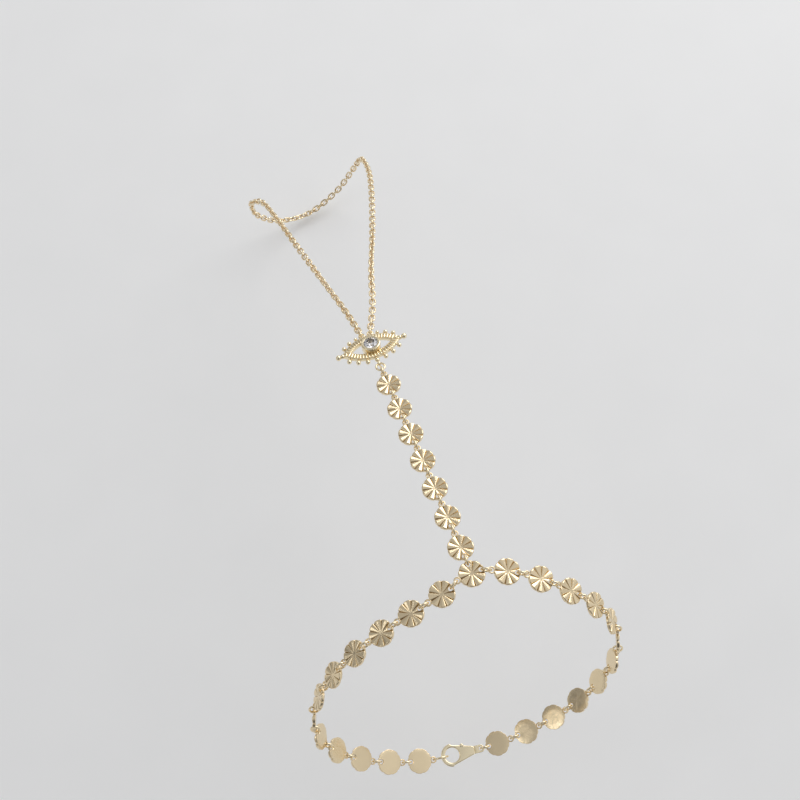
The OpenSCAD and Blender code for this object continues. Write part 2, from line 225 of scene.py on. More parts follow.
class Layout:
    """Where each disc, ring, link and the eye sits, by the part's own rules."""

    def __init__(self, sizes: Sizes) -> None:
        """Works out the wrist loop, the strand, the clasp's gap and the finger chain.

        Args:
            sizes: Driving sizes.
        """
        self.sizes = sizes
        self.pitch = sizes.hole_reach + sizes.ring_d + sizes.eyelet_reach
        loop = [self.loop_at(t) for t in range(-180, 181)]
        runs = running_lengths(loop)
        self.angle_at = Track([run - runs[180] for run in runs], [float(t) for t in range(-180, 181)])
        self._lay_strand()
        self._lay_clasp()
        self._lay_chain()

    def loop_at(self, turn: float) -> Vector:
        """The point of the wrist loop at an angle from its top.

        Args:
            turn: The angle in degrees, to the right.

        Returns:
            The point.
        """
        size = self.sizes
        x = size.wrist_w / 2 * math.sin(math.radians(turn))
        z = size.wrist_h / 2 * math.cos(math.radians(turn))
        fade = math.exp(turn / size.left_fade) if turn < 0 else math.exp(-((turn / size.right_fade) ** 2))
        y = (
            math.tan(math.radians(size.loop_turn)) * x
            + math.tan(math.radians(size.loop_lean)) * (z - size.wrist_h / 2)
            + size.strand_pull * (fade - 1)
        )
        return Vector((x, y, z))

    def loop_place(self, run: float) -> Place:
        """The place at a length along the wrist loop from its top.

        Args:
            run: Length along the loop, to the right of its top.

        Returns:
            The place, whose face looks out of the loop.
        """
        turn = self.angle_at.at(run)
        along = (self.loop_at(turn + 0.5) - self.loop_at(turn - 0.5)).normalized()
        normal = Vector((
            math.sin(math.radians(turn)) / self.sizes.wrist_w, 0.0,
            math.cos(math.radians(turn)) / self.sizes.wrist_h,
        ))
        return Place(self.loop_at(turn), along, across(normal, along))

    def _lay_strand(self) -> None:
        """Lays the strand's curve, its middle disc and the eye at its end."""
        size = self.sizes
        self.strand_first = size.hole_reach + size.ring_d + size.hole_reach
        linked = size.ring_d - size.ring_wire - size.play
        self.bail_link = size.ring_d / 2 - size.ring_wire / 2 - size.eye_loop_wire_r - size.play
        eye_gap = (
            size.eyelet_reach + size.ring_d / 2 + linked + self.bail_link + size.eye_loop_r - size.bail_y
        )
        self.strand_length = self.strand_first + (size.strand_discs - 1) * self.pitch + eye_gap
        aside = math.radians(size.strand_aside)
        self.strand_way = Vector((-math.sin(aside), math.cos(aside), 0.0))
        self.bend = math.radians(size.slope_end - size.slope_start) / self.strand_length
        top = self.loop_place(0.0)
        self.middle = Place(top.middle, top.along, across(top.out + self.strand_out(0.0), top.along))
        end = self.strand_length
        along = self.strand_along(end)
        out = self.strand_out(end)
        self.eye = Place(self.strand_at(end), along.cross(out), out)
        first = self.strand_place(size.strand_discs)
        self.anchor_way = across(first.at(size.hole_reach) - self.middle.middle, self.middle.out)
        self.anchor = self.middle.middle + size.hole_reach * self.anchor_way
        self.anchor_turn = math.atan2(
            self.anchor_way.dot(self.middle.side), self.anchor_way.dot(self.middle.along)
        )

    def slope(self, run: float) -> float:
        """The strand's downward slope, in radians, at a length from the middle disc."""
        return math.radians(self.sizes.slope_start) + self.bend * run

    def strand_along(self, run: float) -> Vector:
        """The strand's direction towards the eye at a length from the middle disc."""
        return math.cos(self.slope(run)) * self.strand_way - Vector((0, 0, math.sin(self.slope(run))))

    def strand_out(self, run: float) -> Vector:
        """The direction that the strand's faces look in at a length along it."""
        return math.sin(self.slope(run)) * self.strand_way + Vector((0, 0, math.cos(self.slope(run))))

    def strand_at(self, run: float) -> Vector:
        """The strand's point at a length from the middle disc.

        Args:
            run: The length.

        Returns:
            The point.
        """
        start = self.slope(0.0)
        forward = (math.sin(self.slope(run)) - math.sin(start)) / self.bend
        down = (math.cos(self.slope(run)) - math.cos(start)) / self.bend
        return self.middle.middle + forward * self.strand_way + Vector((0, 0, down))

    def strand_place(self, k: int) -> Place:
        """The place of a strand disc, numbered from the eye."""
        run = self.strand_first + (self.sizes.strand_discs - k) * self.pitch
        return Place(self.strand_at(run), -self.strand_along(run), self.strand_out(run))

    def disc_place(self, k: int) -> Place:
        """The place of a wrist disc: 0 is the middle one, and the right side counts up."""
        return self.middle if k == 0 else self.loop_place(k * self.pitch)

    def hole(self, place: Place) -> Vector:
        """The hole of the disc at a place."""
        return place.at(self.sizes.hole_reach)

    def eyelet(self, place: Place) -> Vector:
        """The eyelet of the disc at a place."""
        return place.at(-self.sizes.eyelet_reach)

    def _lay_clasp(self) -> None:
        """Lays the clasp between the last disc on the right and the last one on the left."""
        size = self.sizes
        self.last_right = self.disc_place(size.side_discs)
        self.last_left = self.disc_place(-size.side_discs)
        start = self.hole(self.last_right)
        end = self.eyelet(self.last_left)
        along = (end - start).normalized()
        self.clasp_length = (end - start).length - size.ring_d - size.catch_d
        out = (self.last_right.out + self.last_left.out).normalized()
        self.clasp = Place(start + size.ring_d * along, along, across(out, along))

    def _lay_chain(self) -> None:
        """Lays a smooth route through the finger chain's turns, and its links."""
        size = self.sizes
        start = self.eye.at(-size.top_loop_x, size.top_loop_y)
        end = self.eye.at(size.top_loop_x, size.top_loop_y)
        knots = [start, *(Vector(turn) for turn in CHAIN_TURNS), end]
        knots = [2 * knots[0] - knots[1], *knots, 2 * knots[-1] - knots[-2]]
        points = []
        for a, b, c, d in zip(knots, knots[1:], knots[2:], knots[3:]):
            for j in range(ROUTE_STEPS):
                u = j / ROUTE_STEPS
                points.append(0.5 * (
                    2 * b + (c - a) * u + (2 * a - 5 * b + 4 * c - d) * u * u
                    + (3 * b - a - 3 * c + d) * u * u * u
                ))
        points.append(end)
        runs = running_lengths(points)
        self.chain = Track(runs, points)
        self.chain_length = runs[-1]
        self.link_half = (size.link_len - size.link_wire) / 2
        wanted = size.link_len - 2 * size.link_wire - size.link_play
        spare = self.chain_length - 2 * self.link_half
        self.links = 2 * math.floor(spare / wanted / 2 + 0.5) + 1
        self.link_step = spare / (self.links - 1)
        self.left_links = (self.links + 1) // 2

    def link_place(self, i: int) -> Place:
        """The place of a chain link, each turned a quarter from the one before.

        Args:
            i: Number of the link, from the eye's left loop.

        Returns:
            The place, whose along is the link's length and whose out is square to its plane.
        """
        run = self.link_half + i * self.link_step
        along = (self.chain.at(run + self.link_half) - self.chain.at(run - self.link_half)).normalized()
        ease = min(1.0, min(run, self.chain_length - run) / self.sizes.roll_ease)
        up = across((1 - ease) * self.eye.out + ease * ROLL_GUIDE, along)
        return Place(self.chain.at(run), along, along.cross(up) if i % 2 == 0 else up)

    def ring_between(self, start: Vector, end: Vector, out: Vector) -> Place:
        """The place of a ring that stands on edge between two points of its wire's middle line."""
        along = (end - start).normalized()
        return Place((start + end) / 2, along, across(out, along))

    def wrist_rings(self) -> list[tuple[Place, float]]:
        """Each jump ring of the wrist loop, with its diameter.

        Returns:
            The rings between discs, then the clasp's two.
        """
        size = self.sizes
        rings = []
        for k in range(-size.side_discs, size.side_discs):
            near = self.disc_place(k)
            far = self.disc_place(k + 1)
            ring = self.ring_between(self.hole(near), self.eyelet(far), near.out + far.out)
            rings.append((ring, size.ring_d))
        start = self.hole(self.last_right)
        ring = self.ring_between(start, self.clasp.middle, self.last_right.out + self.clasp.out)
        rings.append((ring, size.ring_d))
        end = self.eyelet(self.last_left)
        catch = end - size.catch_d * self.clasp.along
        ring = self.ring_between(catch, end, self.last_left.out + self.clasp.out)
        rings.append((ring, size.catch_d))
        return rings

    def strand_rings(self) -> list[tuple[Place, float]]:
        """Each jump ring of the strand, with its diameter.

        Returns:
            The rings from the middle disc on, then the two linked ones at the eye.
        """
        size = self.sizes
        first = self.strand_place(size.strand_discs)
        places = [self.ring_between(self.anchor, self.hole(first), self.middle.out + first.out)]
        for k in range(1, size.strand_discs):
            near = self.strand_place(k + 1)
            far = self.strand_place(k)
            places.append(self.ring_between(self.eyelet(near), self.hole(far), near.out + far.out))
        start = self.eyelet(self.strand_place(1))
        bail = self.eye.at(0.0, size.bail_y - size.eye_loop_r)
        along = (bail - start).normalized()
        out = across(self.eye.out, along)
        places.append(Place(start + size.ring_d / 2 * along, along, out))
        places.append(Place(bail - self.bail_link * along, along, along.cross(out)))
        return [(place, size.ring_d) for place in places]


class MeshMaker:
    """Collects closed shells, in millimetres, and makes one object of them."""

    def __init__(self) -> None:
        """Starts with no points and no faces."""
        self.points: Loop = []
        self.faces: list[tuple[int, ...]] = []

    def loft(self, loops: Sequence[Loop], closed: bool = False) -> None:
        """Adds the skin over a row of loops with the same number of points.

        Args:
            loops: The loops, each counter-clockwise seen from the row's end.
            closed: Whether the last loop joins the first. Otherwise both ends are capped.
        """
        start = len(self.points)
        n = len(loops[0])
        rows = len(loops)
        for loop in loops:
            self.points.extend(loop)
        for i in range(rows if closed else rows - 1):
            low = start + i * n
            high = start + (i + 1) % rows * n
            for j in range(n):
                k = (j + 1) % n
                self.faces.append((low + j, low + k, high + k, high + j))
        if not closed:
            self.faces.append(tuple(range(start + n - 1, start - 1, -1)))
            top = start + (rows - 1) * n
            self.faces.append(tuple(range(top, top + n)))

    def facets(self, points: Sequence[Vector], faces: Sequence[Sequence[int]]) -> None:
        """Adds a shell of given faces.

        Args:
            points: Corners.
            faces: Corner numbers of each face, counter-clockwise from outside.
        """
        start = len(self.points)
        self.points.extend(points)
        self.faces.extend(tuple(start + i for i in face) for face in faces)

    def tube(
        self, path: Sequence[tuple[Vector, Vector]], up: Vector, radii: Sequence[float], sides: int
    ) -> None:
        """Adds round wire along a closed flat path.

        Args:
            path: Middle of the wire and the direction away from the path's inside, at each station.
            up: Direction square to the path's plane.
            radii: Radius of the wire at each station.
            sides: Sides of the wire.
        """
        turns = full_turn(sides)
        loops = []
        for (middle, out), radius in zip(path, radii):
            loops.append([middle + radius * (math.cos(a) * out + math.sin(a) * up) for a in turns])
        self.loft(loops, closed=True)

    def lathe(
        self, place: Place, profile: Sequence[tuple[float, float]], sides: int, closed: bool = False
    ) -> None:
        """Adds a turned shape, of radii and heights from the bottom up, or closed round a hollow."""
        turns = full_turn(sides)
        self.loft([[place.round(r, a, z) for a in turns] for r, z in profile], closed=closed)

    def band(
        self, place: Place, turns: Sequence[float], outer: Reach, inner: Reach,
        span: tuple[float, float], edge: float, steps: int = 4,
    ) -> None:
        """Adds a flat band of any outline round a hollow middle, with rounded edges.

        Args:
            place: Middle of the band.
            turns: Angles of its stations.
            outer: Distance of its outer side at an angle, moved out by a length.
            inner: Distance of its inner side, in the same way.
            span: Height of its back and of its front.
            edge: Radius of its edges.
            steps: Steps over each edge.
        """
        low = span[0] + edge
        high = span[1] - edge
        section = [(outer, x, z) for x, z in round_edge(-edge, low, edge, -90, steps)]
        section += [(outer, x, z) for x, z in round_edge(-edge, high, edge, 0, steps)]
        section += [(inner, x, z) for x, z in round_edge(edge, high, edge, 90, steps)]
        section += [(inner, x, z) for x, z in round_edge(edge, low, edge, 180, steps)]
        loops = []
        for reach, x, z in section:
            loops.append([place.round(reach(turn, x), turn, z) for turn in turns])
        self.loft(loops, closed=True)

    def ball(self, middle: Vector, up: Vector, radius: float, sides: int = 20) -> None:
        """Adds a polished granule, with a small flat at each pole.

        Args:
            middle: Middle of the ball.
            up: Direction of its poles.
            radius: Radius.
            sides: Points round it.
        """
        side = up.orthogonal().normalized()
        rows = sides // 2
        profile = []
        for i in range(rows + 1):
            a = math.pi * (POLE_GAP + (1 - 2 * POLE_GAP) * i / rows)
            profile.append((radius * math.sin(a), -radius * math.cos(a)))
        self.lathe(Place(middle, side, up), profile, sides)

    def mesh(
        self, name: str, sharp_angle: float, material: bpy.types.Material | None = None
    ) -> bpy.types.Mesh:
        """Makes the mesh, smooth apart from edges that turn by more than an angle.

        Args:
            name: Name of the mesh.
            sharp_angle: Degrees of turn from which an edge stays sharp.
            material: Its material, where it stays in the scene.

        Returns:
            The mesh, in metres.
        """
        made = bpy.data.meshes.new(name)
        made.from_pydata([p * MM for p in self.points], [], self.faces)
        made.validate()
        made.polygons.foreach_set("use_smooth", [True] * len(made.polygons))
        made.set_sharp_from_angle(angle=math.radians(sharp_angle))
        if material is not None:
            made.materials.append(material)
        return made


def add_object(name: str, data: bpy.types.ID) -> bpy.types.Object:
    """Puts a new object in the scene.

    Args:
        name: Its name.
        data: Its mesh, light or camera.

    Returns:
        The object.
    """
    made = bpy.data.objects.new(name, data)
    bpy.context.scene.collection.objects.link(made)
    return made


def round_edge(
    reach: float, height: float, radius: float, start: float, steps: int
) -> list[tuple[float, float]]:
    """Points of a quarter round in a profile.

    Args:
        reach: Radius of the middle of the quarter round.
        height: Height of its middle.
        radius: Its own radius.
        start: Angle in degrees that it starts from, turning counter-clockwise.
        steps: Steps over the quarter.

    Returns:
        Radius and height of each point.
    """
    points = []
    for i in range(steps + 1):
        a = math.radians(start + 90 * i / steps)
        points.append((reach + radius * math.cos(a), height + radius * math.sin(a)))
    return points


class NodeSheet:
    """Short ways to add nodes to a material or a node group."""

    def __init__(self, tree: bpy.types.NodeTree) -> None:
        """Works on a tree."""
        self.tree = tree

    def add(self, kind: str, values: dict[str, object] | None = None, **settings: object) -> bpy.types.Node:
        """Adds a node.

        Args:
            kind: Blender's name of the node's class.
            values: Values or links for its inputs, by name.
            settings: Values of its own properties.

        Returns:
            The node.
        """
        node = self.tree.nodes.new(kind)
        for name, value in settings.items():
            setattr(node, name, value)
        for name, value in (values or {}).items():
            self.feed(node.inputs[name], value)
        return node

    def feed(self, socket: bpy.types.NodeSocket, value: object) -> None:
        """Sets an input, or links it where the value is another node's output."""
        if isinstance(value, bpy.types.NodeSocket):
            self.tree.links.new(value, socket)
        else:
            socket.default_value = value

    def math(self, operation: str, *values: object) -> bpy.types.NodeSocket:
        """Adds a step of arithmetic.

        Args:
            operation: Blender's name of the operation.
            values: Numbers or links, in order.

        Returns:
            The result.
        """
        node = self.tree.nodes.new("ShaderNodeMath")
        node.operation = operation
        for socket, value in zip(node.inputs, values):
            self.feed(socket, value)
        return node.outputs[0]

    def ramp(
        self, factor: bpy.types.NodeSocket, stops: Sequence[tuple[float, tuple[float, ...]]]
    ) -> bpy.types.NodeSocket:
        """Adds a colour ramp.

        Args:
            factor: Where on the ramp.
            stops: Position and colour of each stop, in rising order.

        Returns:
            The colour.
        """
        node = self.tree.nodes.new("ShaderNodeValToRGB")
        elements = node.color_ramp.elements
        while len(elements) < len(stops):
            elements.new(1.0)
        for element, (position, colour) in zip(elements, stops):
            element.position = position
            element.color = colour
        self.feed(node.inputs[0], factor)
        return node.outputs[0]


def new_material(name: str) -> tuple[bpy.types.Material, NodeSheet, bpy.types.Node]:
    """Starts a material.

    Args:
        name: Its name.

    Returns:
        The material, its sheet and its shader.
    """
    material = bpy.data.materials.new(name)
    material.use_nodes = True
    return material, NodeSheet(material.node_tree), material.node_tree.nodes["Principled BSDF"]


class Effects:
    """Shader groups that the metals share, each made once."""

    def __init__(self) -> None:
        """Makes the groups."""
        self.wear = self._wear()
        self.tone = self._tone_and_recess_shade()
        self.brush = self._brush()

    def _group(
        self, name: str, inputs: Sequence[tuple[str, str, object]], outputs: Sequence[tuple[str, str]]
    ) -> tuple[bpy.types.NodeTree, NodeSheet, bpy.types.Node, bpy.types.Node]:
        """Starts a group with named sockets.

        Args:
            name: Name of the group.
            inputs: Name, kind and value of each input.
            outputs: Name and kind of each output.

        Returns:
            The group, its sheet, and its input and output nodes.
        """
        tree = bpy.data.node_groups.new(name, "ShaderNodeTree")
        for title, kind, value in inputs:
            socket = tree.interface.new_socket(title, in_out="INPUT", socket_type=kind)
            if value is not None:
                socket.default_value = value
        for title, kind in outputs:
            tree.interface.new_socket(title, in_out="OUTPUT", socket_type=kind)
        sheet = NodeSheet(tree)
        return tree, sheet, sheet.add("NodeGroupInput"), sheet.add("NodeGroupOutput")

    def _wear(self) -> bpy.types.NodeTree:
        """Fine scratches and polishing haze, as a height and a roughness.

        Returns:
            The group.
        """
        tree, sheet, given, out = self._group(
            "micro_wear",
            [
                ("Scale", "NodeSocketFloat", 1.0),
                ("Rough Low", "NodeSocketFloat", 0.1),
                ("Rough High", "NodeSocketFloat", 0.3),
            ],
            [("Height", "NodeSocketFloat"), ("Roughness", "NodeSocketFloat")],
        )
        where = sheet.add("ShaderNodeTexCoord").outputs["Object"]
        fine = sheet.add("ShaderNodeTexNoise", {
            "Vector": where, "Scale": sheet.math("MULTIPLY", given.outputs["Scale"], 5200.0),
            "Detail": 3.0, "Roughness": 0.6,
        })
        broad = sheet.add("ShaderNodeTexNoise", {
            "Vector": where, "Scale": sheet.math("MULTIPLY", given.outputs["Scale"], 900.0), "Detail": 2.0,
        })
        sheet.feed(out.inputs["Height"], sheet.math("ADD", fine.outputs[0], broad.outputs[0]))
        spread = sheet.math("SUBTRACT", given.outputs["Rough High"], given.outputs["Rough Low"])
        rough = sheet.math("MULTIPLY_ADD", broad.outputs[0], spread, given.outputs["Rough Low"])
        sheet.feed(out.inputs["Roughness"], rough)
        return tree

    def _tone_and_recess_shade(self) -> bpy.types.NodeTree:
        """Plating colour with painted shade: ambient occlusion darkens it towards a shade colour in
        recesses, creases and undersides, and noise drifts it a little over the surface.

        Returns:
            The group.
        """
        tree, sheet, given, out = self._group(
            "plating_tone_and_recess_shade",
            [
                ("Bright", "NodeSocketColor", (0.9, 0.8, 0.55, 1.0)),
                ("Recess Shade", "NodeSocketColor", (0.5, 0.35, 0.15, 1.0)),
                ("Reach", "NodeSocketFloat", 0.0004),
            ],
            [("Color", "NodeSocketColor")],
        )
        # Painted shade: occlusion by nearby metal darkens the colour, standing in for light that does not
        # reach into recesses.
        open_sky = sheet.add(
            "ShaderNodeAmbientOcclusion", {"Distance": given.outputs["Reach"]}, samples=6, only_local=True
        ).outputs["AO"]
        where = sheet.add("ShaderNodeTexCoord").outputs["Object"]
        drift = sheet.add("ShaderNodeTexNoise", {"Vector": where, "Scale": 420.0, "Detail": 2.0}).outputs[0]
        shade = sheet.math("POWER", open_sky, 1.3)
        shade = sheet.math("MULTIPLY", shade, sheet.math("MULTIPLY_ADD", drift, 0.16, 0.92))
        # Mixes from the painted recess shade colour to the bright plating colour.
        mix = sheet.add("ShaderNodeMix", {"Factor": shade}, data_type="RGBA", clamp_factor=True)
        sheet.feed(mix.inputs[6], given.outputs["Recess Shade"])
        sheet.feed(mix.inputs[7], given.outputs["Bright"])
        sheet.feed(out.inputs["Color"], mix.outputs[2])
        return tree

    def _brush(self) -> bpy.types.NodeTree:
        """Fine lines that run out from the middle of a stamped disc, as a height.

        Returns:
            The group.
        """
        tree, sheet, given, out = self._group(
            "radial_brush", [("Lines", "NodeSocketFloat", 60.0)], [("Height", "NodeSocketFloat")]
        )
        split = sheet.add(
            "ShaderNodeSeparateXYZ", {"Vector": sheet.add("ShaderNodeTexCoord").outputs["Object"]}
        )
        turn = sheet.math("ARCTAN2", split.outputs[1], split.outputs[0])
        reach = sheet.math("POWER", sheet.math(
            "ADD", sheet.math("POWER", split.outputs[0], 2.0), sheet.math("POWER", split.outputs[1], 2.0)
        ), 0.5)
        spread = sheet.add("ShaderNodeCombineXYZ", {
            "X": sheet.math("MULTIPLY", turn, given.outputs["Lines"]),
            "Y": sheet.math("MULTIPLY", reach, 900.0),
        }).outputs[0]
        lines = sheet.add("ShaderNodeTexNoise", {"Vector": spread, "Scale": 1.0, "Detail": 2.0}).outputs[0]
        sheet.feed(out.inputs["Height"], lines)
        return tree


@dataclass(frozen=True)
class GoldFinish:
    """One pale gold plated surface."""

    name: str
    # The first colour is the plating's own; the second colour and the reach set the painted shade in
    # recesses: its colour and how far off occluding metal counts.
    bright: tuple[float, float, float]
    recess_shade: tuple[float, float, float]
    reach: float
    rough_low: float
    rough_high: float
    wear_scale: float
    bump: float
    brush_lines: float = 0.0

    def build(self, effects: Effects) -> bpy.types.Material:
        """Makes the material.

        Args:
            effects: The shared shader groups.

        Returns:
            The material.
        """
        material, sheet, shader = new_material(self.name)
        shader.inputs["Metallic"].default_value = 1.0
        # This group paints shade into the base colour where the surface lies in a recess.
        tone = sheet.add("ShaderNodeGroup", node_tree=effects.tone)
        tone.inputs["Bright"].default_value = (*self.bright, 1.0)
        tone.inputs["Recess Shade"].default_value = (*self.recess_shade, 1.0)
        tone.inputs["Reach"].default_value = self.reach
        wear = sheet.add("ShaderNodeGroup", node_tree=effects.wear)
        wear.inputs["Scale"].default_value = self.wear_scale
        wear.inputs["Rough Low"].default_value = self.rough_low
        wear.inputs["Rough High"].default_value = self.rough_high
        height = wear.outputs["Height"]
        if self.brush_lines:
            brush = sheet.add("ShaderNodeGroup", node_tree=effects.brush)
            brush.inputs["Lines"].default_value = self.brush_lines
            height = sheet.math("ADD", height, brush.outputs["Height"])
        bump = sheet.add("ShaderNodeBump", {"Strength": 1.0, "Distance": self.bump, "Height": height})
        sheet.feed(shader.inputs["Base Color"], tone.outputs["Color"])
        sheet.feed(shader.inputs["Roughness"], wear.outputs["Roughness"])
        sheet.feed(shader.inputs["Normal"], bump.outputs[0])
        return material


@dataclass(frozen=True)
class StoneFinish:
    """Clear cut glass with a faint lavender cast."""

    name: str
    colour: tuple[float, float, float]
    ior: float

    def build(self) -> bpy.types.Material:
        """Makes the material.

        Returns:
            The material.
        """
        material, sheet, shader = new_material(self.name)
        shader.inputs["Transmission Weight"].default_value = 1.0
        shader.inputs["IOR"].default_value = self.ior
        where = sheet.add("ShaderNodeTexCoord").outputs["Object"]
        noise = sheet.add("ShaderNodeTexNoise", {"Vector": where, "Scale": 1400.0, "Detail": 2.0})
        cloud = noise.outputs[0]
        tint = sheet.ramp(cloud, [
            (0.3, (*self.colour, 1.0)), (0.7, (*(min(1.0, c * 1.08) for c in self.colour), 1.0)),
        ])
        sheet.feed(shader.inputs["Base Color"], tint)
        sheet.feed(shader.inputs["Roughness"], sheet.math("MULTIPLY_ADD", cloud, 0.03, 0.04))
        return material


@dataclass(frozen=True)
class Finishes:
    """The materials of the bracelet."""

    stamped: bpy.types.Material
    wire: bpy.types.Material
    cast: bpy.types.Material
    stone: bpy.types.Material

    @classmethod
    def build(cls) -> "Finishes":
        """Makes every material of the bracelet.

        Returns:
            The materials.
        """
        effects = Effects()
        return cls(
            # The darker second colour of each gold is painted shade for its recesses.
            stamped=GoldFinish(
                name="stamped_gold", bright=(0.89, 0.735, 0.49), recess_shade=(0.5, 0.36, 0.17), reach=0.0005,
                rough_low=0.1, rough_high=0.24, wear_scale=1.0, bump=0.00001, brush_lines=60.0,
            ).build(effects),
            wire=GoldFinish(
                name="wire_gold", bright=(0.95, 0.81, 0.56), recess_shade=(0.68, 0.47, 0.27), reach=0.0005,
                rough_low=0.08, rough_high=0.2, wear_scale=1.4, bump=0.000006,
            ).build(effects),
            cast=GoldFinish(
                name="cast_gold", bright=(0.985, 0.86, 0.6), recess_shade=(0.68, 0.5, 0.26), reach=0.0006,
                rough_low=0.05, rough_high=0.15, wear_scale=1.0, bump=0.000006,
            ).build(effects),
            stone=StoneFinish(name="clear_stone", colour=(0.985, 0.95, 0.985), ior=2.1).build(),
        )


@dataclass
class Part:
    """A sub-assembly, which makes its pieces by the layout and dresses them with the finishes."""

    layout: Layout
    finishes: Finishes
    pieces: list[bpy.types.Object] = field(default_factory=list)

    @property
    def sizes(self) -> Sizes:
        """Driving sizes of the bracelet."""
        return self.layout.sizes

    def show(
        self, node: str, making: str, mesh: bpy.types.Mesh, slot: Slot = Slot.GOLD,
        place: Place | None = None,
    ) -> None:
        """Puts a mesh in the scene as the piece that replaces a node of the frame.

        Args:
            node: Name of the node, which starts the piece's name.
            making: Word for how the piece is made, which ends its name.
            mesh: Its mesh, with its material.
            slot: Material slot of the record; not used.
            place: Where a mesh drawn about its own middle stands.
        """
        piece = add_object(f"{node}_{making}", mesh)
        if place is not None:
            piece.matrix_world = place.matrix()
            bpy.context.view_layer.update()
        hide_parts(node)
        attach(piece, "root")
        self.pieces.append(piece)


